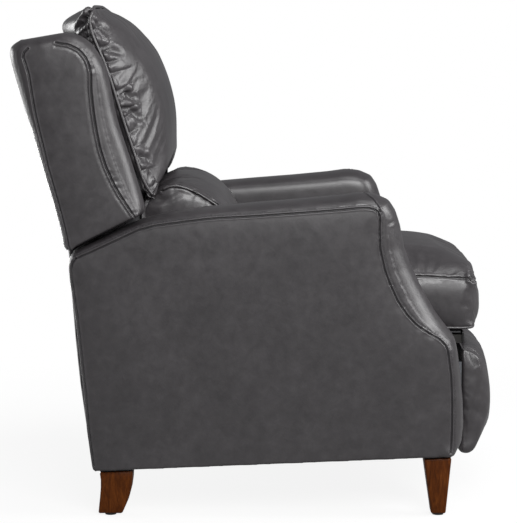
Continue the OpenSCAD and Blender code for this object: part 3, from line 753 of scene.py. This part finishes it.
def inArmPocket(face):
    x, u, z = middleOf(face)
    if inPanel(face, armSet):
        return True
    inSill = abs(x - armSet["sillX"]) < armSet["sillHalf"] and within(u, armSet["sillRun"])
    if inSill and within(z - armFloor(u), armSet["sillRise"]):
        return True
    inHole = any(math.hypot(u - b, z - armSet["holeZ"]) < armSet["holeReach"] for b in armSet["holesAt"])
    return inHole and within(x, armSet["holeRun"])


def makeArm(sideName, sign):
    cover = startSkin(f"arm_cover_{sideName}", f"arm_leather_{sideName}", armSet, inArmPocket)
    swell(cover, armSet["swell"], armSet["rearSwell"])
    fill(cover, armSet["fill"])
    # the leather is turned under and stops short of the rail's bottom face
    points, normals = readSkin(cover)
    edge = (armFloor(-points[:, 1] * 1000 - midShift) + armSet["underLift"]) / 1000
    under = (normals[:, 2] < -0.8) & (points[:, 2] < armSet["underTop"])
    points[under, 2] = edge[under]
    points[:, 2] = np.maximum(points[:, 2], edge)
    writePoints(cover, points)
    outSeam = sideLine(sign * armSet["outer"], armSeam)
    inSeam = sideLine(sign * armSet["inner"], armSeam)
    stitched = insetLine(armSeam[7:], armSet["stitchIn"])
    stitchRow = sideLine(sign * (armSet["outer"] - 3), stitched)
    mitre = onSide(sign, armMitre)
    evenOut(cover, [inSeam[7:27]], armSet["topReach"], armSet["topPasses"], nearLines=True)
    crownPanel(cover, [outSeam], sign, armSet["outer"] - 4, armSet["padding"], armSet["turn"])
    refine(cover, [outSeam, mitre], armSet["bands"])
    refine(cover, [inSeam[25:]], armSet["innerBands"])
    marks = [(outSeam[7:], 0.0017, 0.0026, 0.0006, False, 0.35, 0.95),
             (outSeam[:8], 0.0019, 0.0030, 0.0004, False, 0.15, 0.95),
             (inSeam[25:], 0.0026, 0.0022, 0.0004, False, 0.25, 0.8),
             (stitchRow, 0.0022, 0.0007, 0.0002, False, 0.1, 0.3),
             (mitre, 0.0017, 0.0024, 0.0007, False, 0.3, 0.9)]
    # the cover draws in a little at its seams, most round the nose and the scoop
    marks += gathered(outSeam[19:24], (-sign, 0, 0.3), 0.014, 0.014, 0.0028, 0.0007, 11, 0.3, 0.3)
    marks += gathered(outSeam[24:32], (-sign, 0, 0), 0.042, 0.022, 0.0060, 0.0013, 13, 0.1, 0.15)
    marks += gathered(inSeam[25:31], (sign, 0, 0), 0.036, 0.026, 0.0055, 0.0014, 14, 0.15, 0.2)
    marks.append((onSide(sign, nosePucker), 0.0030, 0.0020, 0.0009, True, 0.5, 0.4))
    press(cover, marks)
    dress(cover, "frame", "leather", f"arm_cover_{sideName}")
    thread = stitching(f"arm_stitching_{sideName}", cover, stitchRow)
    dress(thread, "frame", "leather", finish=seamThread)


sides = (("right", -1), ("left", 1))
for sideName, sign in sides:
    makeArm(sideName, sign)
print("arms covered")


# Wings

wingFront = [(-264, 634), (-279, 656), (-296, 682), (-310, 708), (-324, 740), (-336, 778),
             (-343, 815), (-349, 855), (-353, 900), (-353, 935), (-360, 960), (-376, 980),
             (-398, 991), (-424, 995)]
wingRear = [(-401, 563), (-407, 596), (-415, 632), (-424, 667), (-433, 700), (-444, 740),
            (-452, 778), (-461, 815), (-469, 852), (-475, 892), (-481, 930), (-488, 955),
            (-494, 970), (-482, 983)]
wingSet = coverSet | {
    "outer": 392, "inner": 304, "passes": 7, "panelX": 352, "panelHalf": 8.2, "railX": (304.2, 354),
    "railLows": (662, 886), "railZ": (-0.6, 30.6), "railU": (1.5, 38.5), "stitchIn": -7,
    "padding": 0.0035, "turn": 0.024, "evenReach": 0.014, "even": 24, "rearReach": 0.010, "rearEven": 8,
    "stuffing": 0.75}
# the rear face of the back's frame: heights, and the places there
backEdge = ((290, 567, 985), (-374, -396, -505))


def inWingPocket(face):
    x, u, z = middleOf(face)
    if inPanel(face, wingSet):
        return True
    inRail = any(within(z - low, wingSet["railZ"]) for low in wingSet["railLows"])
    ahead = u - np.interp(z, *backEdge)
    return inRail and within(x, wingSet["railX"]) and within(ahead, wingSet["railU"])


def makeWing(sideName, sign):
    cover = startSkin(f"wing_cover_{sideName}", f"wing_leather_{sideName}", wingSet, inWingPocket)
    swell(cover, wingSet["swell"], wingSet["rearSwell"])
    frontOut = sideLine(sign * wingSet["outer"], wingFront)
    frontIn = sideLine(sign * wingSet["inner"], wingFront)
    rearOut = sideLine(sign * wingSet["outer"], wingRear)
    stitched = sideLine(sign * wingSet["outer"], insetLine(wingFront, wingSet["stitchIn"]))
    evenOut(cover, [frontOut, frontIn, rearOut], wingSet["evenReach"], wingSet["even"])
    evenOut(cover, [rearOut], wingSet["rearReach"], wingSet["rearEven"], nearLines=True)
    crownPanel(cover, [frontOut, rearOut], sign, wingSet["outer"] - 4, wingSet["padding"], wingSet["turn"])
    refine(cover, [frontOut, rearOut], wingSet["bands"])
    refine(cover, [frontIn], wingSet["innerBands"])
    marks = [(frontOut, 0.0018, 0.0028, 0.0008, False, 0.35, 0.95),
             (frontIn, 0.0026, 0.0022, 0.0005, False, 0.25, 0.8),
             (rearOut, 0.0018, 0.0026, 0.0005, False, 0.2, 0.9),
             (stitched, 0.0022, 0.0008, 0.0003, False, 0.1, 0.3)]
    marks += gathered(frontOut[:5], (-sign, -0.6, 0), 0.024, 0.016, 0.0040, 0.0007, 21, 0.2, 0.2)
    marks += gathered(frontOut[9:13], (-sign, -0.6, 0), 0.017, 0.020, 0.0042, 0.0009, 22, 0.3, 0.25)
    marks += gathered(frontIn, (sign, -0.2, 0), 0.026, 0.030, 0.0050, 0.0016, 23, 0.2, 0.2)
    press(cover, marks)
    dress(cover, "back", "leather", f"wing_cover_{sideName}")
    thread = stitching(f"wing_stitching_{sideName}", cover, stitched)
    dress(thread, "back", "leather", finish=seamThread)


for sideName, sign in sides:
    makeWing(sideName, sign)
print("wings covered")


# Outside back and the hidden padding

backSet = {"grid": 0.0050, "passes": 6, "half": 303.6, "lowHalf": 265.5, "seamIn": 7, "rearSwell": 0.0015,
           "stuffing": 0.5}
paddingSet = {"grid": 0.0070, "passes": 3, "stuffing": 0.5}
backLowLine = [(-379, 162), (-392, 260), (-401, 356), (-408, 450), (-414, 545), (-419, 574)]
backHighLine = [(-420, 582), (-430, 640), (-457, 740), (-489, 852), (-512, 932), (-521, 975)]


def makeOutsideBack():
    panel = startSkin("outside_back", "outside_back_leather", backSet)
    swell(panel, 0, backSet["rearSwell"])
    marks = []
    for _, sign in sides:
        for half, line in ((backSet["half"], backHighLine), (backSet["lowHalf"], backLowLine)):
            seam = sideLine(sign * (half - backSet["seamIn"]), line)
            marks.append((seam, 0.0040, 0.0016, 0.0005, False, 0.25, 0.5))
    press(panel, marks)
    dress(panel, "back", "leather", "outside_back")
    padding = startSkin("inner_back_padding", "inner_back_felt", paddingSet)
    dress(padding, "back", "fabric", "inner_back_padding")


makeOutsideBack()
print("back closed")


# What the stuffed pieces have in common

clothSet = {"passes": 6, "inset": 0.007, "grip": 0.006, "freeFrom": 0.02, "pressure": 4.0, "quality": 4,
            "steps": 20, "mass": 0.3, "stiff": 9.0, "shear": 0.6, "bend": 0.35, "spare": 0.015,
            "proud": 0.003, "evenReach": 0.018, "even": 40, "stuffing": 0.75}


def sideSeams(half, seam):
    return sideLine(-half, seam), sideLine(half, seam)


def drawIn(cushion, seams, fit):
    # the stuffing rounds off broadly towards a seam
    press(cushion, [(line, fit["drawnWidth"], fit["drawn"], 0, False, 0, 0) for line in seams])


def acrossFront(near, middle):
    # a line along one side, over the middle of the front and back along the other side
    return onSide(-1, near) + [spot(*middle)] + onSide(1, near[::-1])


# Upper back pillow

pillowSeam = [(-226, 677), (-248, 686), (-262, 730), (-284, 798), (-304, 860), (-321, 918),
              (-338, 966), (-356, 1003), (-366, 1038), (-362, 1068)]
pillowSet = clothSet | {
    "half": 285, "grid": 0.0046, "cap": 0.022, "welt": 0.0036, "weltLift": 0.0024,
    "sag": 0.020, "sagTop": (0.79, -0.09), "sagRear": (0.26, -0.03),
    "droop": 0.009, "droopAside": (0.02, 0.22), "droopAbove": (0.97, 0.08),
    "lowLine": (245, -188, 712), "lowReach": 0.036, "lowEven": 50,
    "fill": [(-200, 860, 90, -3), (-190, 790, 60, -2), (-300, 1045, 40, 4), (-210, 720, 26, 6)]}
# each fold's crest is painted lighter, partly wear and partly painted highlight, and its valley darker, as
# painted shade
pillowFolds = {"pitch": 0.028, "length": 0.066, "depth": 0.0105, "wearAndSheen": 0.5, "foldShade": 0.5}
earFolds = {"pitch": 0.017, "length": 0.050, "depth": 0.0080, "wearAndSheen": 0.4, "foldShade": 0.6}
# a few deeper folds: by the ear, at the middle and above the bottom corner
deepFolds = [
    (-362, 1060, 58, -26, 26, 0.0065, 0.0055), (-362, 1060, 40, -52, 30, 0.0065, 0.0055),
    (-362, 1060, -22, -40, 14, 0.0060, 0.0060), (-366, 1046, -44, -30, 18, 0.0060, 0.0060),
    (-345, 985, 74, -6, 20, 0.0080, 0.0060), (-312, 885, 86, 2, 18, 0.0085, 0.0075),
    (-303, 856, 80, -10, 20, 0.0080, 0.0055), (-270, 760, 62, -14, 16, 0.0075, 0.0060),
    (-236, 684, 24, 44, 10, 0.0060, 0.0060), (-236, 684, 34, 20, 24, 0.0060, 0.0060)]


def makePillow():
    pillow = startSkin("back_pillow", "back_pillow_leather", pillowSet)
    right, left = sideSeams(pillowSet["half"], pillowSeam)
    loop = right + left[::-1]
    evenOut(pillow, [loop], pillowSet["evenReach"], pillowSet["even"])
    puff(pillow, [loop], pillowSet, lambda at, out: out[:, 1] > 0.55)
    fill(pillow, pillowSet["fill"])
    # the stuffing sinks, and the bottom edge rests on the cushion below
    points = readPoints(pillow)
    sunk = ramp(points[:, 2], *pillowSet["sagTop"]) ** 2 * ramp(points[:, 1], *pillowSet["sagRear"])
    points[:, 2] -= pillowSet["sag"] * sunk
    writePoints(pillow, points)
    x, u, z = pillowSet["lowLine"]
    bottom = [spot(-x, u, z), spot(0, u, z), spot(x, u, z)]
    evenOut(pillow, [bottom], pillowSet["lowReach"], pillowSet["lowEven"], nearLines=True)
    doubled(pillow)
    closedLoop = loop + [loop[0]]
    run = weltRun(pillow, closedLoop, pillowSet["weltLift"])
    marks = [(closedLoop, 0.0042, 0.0034, 0.0006, False, 0.2, 0.8)]
    for sign, seam, seed in ((-1, right, 31), (1, left, 41)):
        ruffle(pillow, seam[1:], (-sign * 0.35, -1, 0), pillowFolds, seed)
        ruffle(pillow, seam[6:], (-sign * 0.6, 1, 0.3), earFolds, seed + 1)
        start = pillowSet["half"] - 2
        for u, z, du, dz, dx, wide, deep in deepFolds:
            shadedCrease = [(start, u, z), (start - dx * 0.4, u + du * 0.5, z + dz * 0.45),
                      (start - dx, u + du, z + dz)]
            # the crease's ridge is painted lighter (wear and painted highlight), its trough darker (painted
            # shade)
            marks.append((onSide(sign, shadedCrease), wide, deep, 0.0022, True, 0.45, 0.5))
    press(pillow, marks)
    welt = cording("back_pillow_welt", run, pillowSet["welt"])
    # the far ear hangs a little lower than the near one
    for piece in (pillow, welt):
        points = readPoints(piece)
        hung = ramp(points[:, 0], *pillowSet["droopAside"]) * ramp(points[:, 2], *pillowSet["droopAbove"])
        points[:, 2] -= pillowSet["droop"] * hung
        writePoints(piece, points)
    dress(pillow, "back", "leather", "back_pillow")
    dress(welt, "back", "leather")


makePillow()
print("pillow stuffed")


# Lower back cushion

lumbarSeam = [(-66, 397), (-59, 415), (-57, 470), (-57, 530), (-58, 580), (-63, 620), (-79, 650),
              (-108, 669), (-147, 688), (-178, 695), (-200, 693), (-216, 684)]
lumbarSet = clothSet | {
    "half": 265, "grid": 0.0048, "cap": 0.024, "proud": 0.002, "welt": 0.0030, "weltLift": 0.0010,
    "drawnWidth": 0.024, "drawn": 0.0060, "restTop": 0.41,
    "fill": [(-125, 700, 35, -4), (-90, 680, 30, -2), (-205, 712, 22, 6)]}
lumbarFolds = {"pitch": 0.034, "length": 0.050, "depth": 0.0022, "wearAndSheen": 0.2, "foldShade": 0.1}


def makeLumbar():
    cushion = startSkin("lumbar_cushion", "lumbar_cushion_leather", lumbarSet)
    seams = sideSeams(lumbarSet["half"], lumbarSeam)
    evenOut(cushion, seams, lumbarSet["evenReach"], lumbarSet["even"])
    puff(cushion, seams, lumbarSet,
         lambda at, out: (out[:, 1] > 0.7) | (out[:, 2] < -0.8) | (at[:, 2] < lumbarSet["restTop"]))
    fill(cushion, lumbarSet["fill"])
    keepWithin(cushion, lumbarSet["half"] + 1)
    doubled(cushion)
    drawIn(cushion, seams, lumbarSet)
    runs = [weltRun(cushion, line, lumbarSet["weltLift"]) for line in seams]
    marks = [(line, 0.0036, 0.0028, 0.0006, False, 0.2, 0.8) for line in seams]
    for (_, sign), seam, seed in zip(sides, seams, (51, 61)):
        ruffle(cushion, seam[6:], (0, 0.5, -1), lumbarFolds, seed + 5)
        marks += gathered(seam[5:], (-sign, 0, 0), 0.040, 0.040, 0.0075, 0.0018, seed, 0.15, 0.15)
    press(cushion, marks)
    dress(cushion, "back", "leather", "lumbar_cushion")
    for (sideName, _), run in zip(sides, runs):
        welt = cording(f"lumbar_welt_{sideName}", run, lumbarSet["welt"])
        dress(welt, "back", "leather")


makeLumbar()
print("lumbar cushion stuffed")


# Seat cushion

seatSeam = [(-42, 392), (-45, 425), (-46, 462), (-43, 482), (-34, 492), (-8, 496), (60, 498),
            (150, 499), (240, 499), (310, 498), (350, 497), (380, 496), (410, 494), (434, 493),
            (450, 490), (460, 483), (466, 468), (469, 446), (468, 420), (464, 396)]
seatSet = clothSet | {
    "half": 265, "grid": 0.0050, "inset": 0.008, "cap": 0.026, "bend": 0.4, "even": 50, "welt": 0.0030,
    "weltLift": 0.0004, "cornerReach": 0.022, "corner": 40, "drawnWidth": 0.024, "drawn": 0.0055,
    "stuffing": 0.8, "restTop": 0.3795,
    "fill": [(458, 516, 26, 8), (425, 532, 30, 3), (486, 450, 32, -5), (300, 561, 70, -2)]}
seatFolds = {"pitch": 0.015, "length": 0.024, "depth": 0.0036, "wearAndSheen": 0.3, "foldShade": 0.35}
topTurn = [(264, 452, 490), (260, 463, 488), (248, 473, 487), (225, 479, 486), (150, 483, 486)]
lowTurn = [(265, -30, 379), (265, 400, 379), (264, 455, 380), (257, 464, 382)]
# the tucks where the top turns down to the front
dogEar = [((262, 460, 490), (246, 462, 522)), ((262, 460, 490), (222, 470, 514))]


def makeSeat():
    cushion = startSkin("seat_cushion", "seat_cushion_leather", seatSet)
    right, left = sideSeams(seatSet["half"], seatSeam)
    lower = acrossFront(lowTurn, (0, 475, 384))
    evenOut(cushion, [right, left, lower], seatSet["evenReach"], seatSet["even"])
    evenOut(cushion, [right[13:], left[13:]], seatSet["cornerReach"], seatSet["corner"], nearLines=True)
    # the top's seam runs down both sides and across the front
    around = right[:14] + acrossFront(topTurn, (0, 484, 486)) + left[:14][::-1]
    puff(cushion, [around, lower], seatSet,
         lambda at, out: (out[:, 2] < -0.7) | (at[:, 2] < seatSet["restTop"]))
    fill(cushion, seatSet["fill"])
    keepWithin(cushion, seatSet["half"] + 1.5)
    doubled(cushion)
    drawIn(cushion, (around, lower), seatSet)
    run = weltRun(cushion, lower, seatSet["weltLift"])
    marks = [(around, 0.0026, 0.0034, 0.0009, False, 0.25, 0.9)]
    for sign, seam, path, seed in ((-1, right, around, 71), (1, left, around[::-1], 81)):
        ruffle(cushion, path[13:18], (-sign, 0.2, 0.8), seatFolds, seed)
        ruffle(cushion, path[13:18], (0, 0.2, -1), seatFolds, seed + 1)
        marks += gathered(seam[4:12], (-sign, 0, 0), 0.060, 0.045, 0.0090, 0.0014, seed, 0.1, 0.15)
        for tuck in dogEar:
            marks.append((onSide(sign, tuck), 0.0056, 0.0060, 0.0022, True, 0.4, 0.75))
    press(cushion, marks)
    dress(cushion, "seat", "leather", "seat_cushion")
    dress(cording("seat_lower_welt", run, seatSet["welt"]), "seat", "leather")


trimSet = {"borderRound": 0.0012, "deckRound": 0.0010, "stuffing": 0.3}


def makeSeatTrim():
    border = copyOf("front_border", "front_border_leather")
    useModifier(border, "BEVEL", width=trimSet["borderRound"], segments=3)
    # the border's darker leather is painted shade
    dress(border, "seat", "leather", "front_border", finish=shadedBorderLeather)
    deck = copyOf("seat_deck", "seat_deck_felt")
    useModifier(deck, "BEVEL", width=trimSet["deckRound"], segments=2)
    dress(deck, "seat", "fabric", "seat_deck")


makeSeat()
makeSeatTrim()
print("seat stuffed")


# Footrest

footSeam = [(446, 107), (459, 118), (468, 134), (475, 155), (479, 180), (481, 208), (481, 240),
            (479, 268), (474, 292), (467, 312), (458, 328), (446, 341)]
footSet = clothSet | {
    "half": 262, "grid": 0.0046, "passes": 5, "inset": 0.006, "cap": 0.020, "rear": 431, "rimReach": 0.014,
    "sideReach": 0.026, "sides": 16, "pocketU": (430.6, 444), "pocketZ": (122.5, 329.5), "pocketHalf": 252.5,
    "crumple": 0.0095, "crumpleDepth": 0.0040, "fill": [(455, 100, 27, 22), (470, 128, 24, 3)]}
rimCorners = ((-1, 112), (-1, 338), (1, 338), (1, 112), (-1, 112))
# the crumple at the top corner
crumples = (((262, 446, 336), (262, 467, 296)), ((250, 456, 345), (222, 474, 332)))


def inFootPocket(face):
    x, u, z = middleOf(face)
    return within(u, footSet["pocketU"]) and within(z, footSet["pocketZ"]) and x < footSet["pocketHalf"]


def makeFootrest():
    # the back of the pad closes over its board
    pad = startSkin("footrest_cushion", "footrest_leather", footSet, inFootPocket)
    rearRim = [spot(sign * footSet["half"], footSet["rear"] + 3, z) for sign, z in rimCorners]
    evenOut(pad, [rearRim], footSet["rimReach"], footSet["even"])
    rearY = -(footSet["rear"] + midShift + 4) / 1000
    puff(pad, [], footSet, lambda at, out: (out[:, 1] > 0.7) | (at[:, 1] > rearY))
    seams = sideSeams(footSet["half"], footSeam)
    evenOut(pad, seams, footSet["sideReach"], footSet["sides"], nearLines=True)
    fill(pad, footSet["fill"])
    keepWithin(pad, footSet["half"] + 2)
    doubled(pad)
    marks = []
    for _, sign in sides:
        for ends in crumples:
            marks.append((onSide(sign, ends), footSet["crumple"], footSet["crumpleDepth"], 0.0006, True,
                          0.15, 0.55))
    press(pad, marks)
    dress(pad, "footrest", "leather", "footrest_cushion")


makeFootrest()
print("footrest stuffed")


# Legs

legSet = {"bevel": 0.0035, "segments": 3, "flat": 0.6, "edge": 40, "smooth": 35}


def makeLeg(nodeName):
    leg = copyOf(nodeName, nodeName.replace("_leg_", "_walnut_leg_"))
    useModifier(leg, "DECIMATE", decimate_type="DISSOLVE", angle_limit=math.radians(legSet["flat"]))
    useModifier(leg, "BEVEL", width=legSet["bevel"], segments=legSet["segments"], limit_method="ANGLE",
                angle_limit=math.radians(legSet["edge"]))
    pick(leg)
    bpy.ops.object.shade_smooth_by_angle(angle=math.radians(legSet["smooth"]))
    dress(leg, "frame", "walnut", nodeName)


for nodeName in ("front_leg_right", "front_leg_left", "rear_leg_right", "rear_leg_left"):
    makeLeg(nodeName)
print("legs shaped")


# Studio

studioSet = {"floorHalf": 14, "floorTone": 0.86, "bounce": 0.20, "room": 0.18, "paperShare": 0.88,
             "shownFloor": 0.32, "shownRoom": 0.10}


def whiteShare(tree, shineShare):
    # how white a ray sees the paper or the room: fully from the camera, partly in the leather's shine
    rays = addNode(tree, "LightPath").outputs
    shown = combine(tree, rays["Is Glossy Ray"], shineShare)
    return combine(tree, rays["Is Camera Ray"], shown, "MAXIMUM")


def makeStudio():
    bpy.ops.mesh.primitive_plane_add(size=studioSet["floorHalf"] * 2, location=(0, 0, -0.0005))
    floor = bpy.context.active_object
    floor.name = "studioFloor"
    paint, tree, shader, place = startFinish("floorPaper")
    away = addNode(tree, "VectorMath", {0: place}, operation="LENGTH").outputs["Value"]
    ring = addNode(tree, "MapRange", {"Value": away, "From Min": 0.7, "From Max": 1.7,
                                      "To Min": studioSet["paperShare"]}).outputs[0]
    # the paper throws less light up than it shows, so the chair's lower half stays dark
    fromCamera = addNode(tree, "LightPath").outputs["Is Camera Ray"]
    thrown, plain = studioSet["bounce"], studioSet["floorTone"]
    paper = mixTone(tree, fromCamera, (thrown, thrown, thrown, 1), (plain, plain, plain, 1))
    feed(tree, shader, {"Base Color": paper, "Roughness": 0.9, "Specular IOR Level": 0.1})
    seen = combine(tree, whiteShare(tree, studioSet["shownFloor"]), ring)
    glow = addNode(tree, "Emission")
    mixed = addNode(tree, "MixShader", {0: seen, 1: shader.outputs["BSDF"], 2: glow.outputs[0]})
    feed(tree, tree.nodes["Material Output"], {"Surface": mixed.outputs[0]})
    floor.data.materials.append(paint)

    scene.world = bpy.data.worlds.new("studioRoom")
    scene.world.use_nodes = True
    sky = scene.world.node_tree
    sky.nodes.clear()
    room = addNode(sky, "Background", {"Color": (0.94, 0.96, 1, 1), "Strength": studioSet["room"]})
    white = addNode(sky, "Background", {"Color": (1, 1, 1, 1)})
    direct = whiteShare(sky, studioSet["shownRoom"])
    mixed = addNode(sky, "MixShader", {0: direct, 1: room.outputs[0], 2: white.outputs[0]})
    addNode(sky, "OutputWorld", {"Surface": mixed.outputs[0]})


def addLamp(name, place, aim, size, power):
    data = bpy.data.lights.new(name, "AREA")
    setAll(data, shape="RECTANGLE", size=size[0], size_y=size[1], energy=power)
    aimed(name, data, place, Vector(aim) - Vector(place))


makeStudio()
addLamp("frontBox", (-0.5, -3.4, 2.4), (0, -0.1, 0.6), (2.2, 2.2), 112)
addLamp("sideBox", (-3.2, -0.9, 2.4), (0, 0, 0.6), (2.0, 1.7), 130)
addLamp("topBox", (-0.6, -0.7, 3.3), (0, 0, 0.6), (1.2, 1.2), 18)
addLamp("rearBox", (1.8, 3.5, 1.0), (0, 0, 0.5), (2.2, 1.4), 90)
# low, so that no top glares towards the camera
addLamp("farBox", (3.0, 1.1, 0.27), (0, 0.1, 0.27), (1.6, 0.4), 42)
print("studio lit")
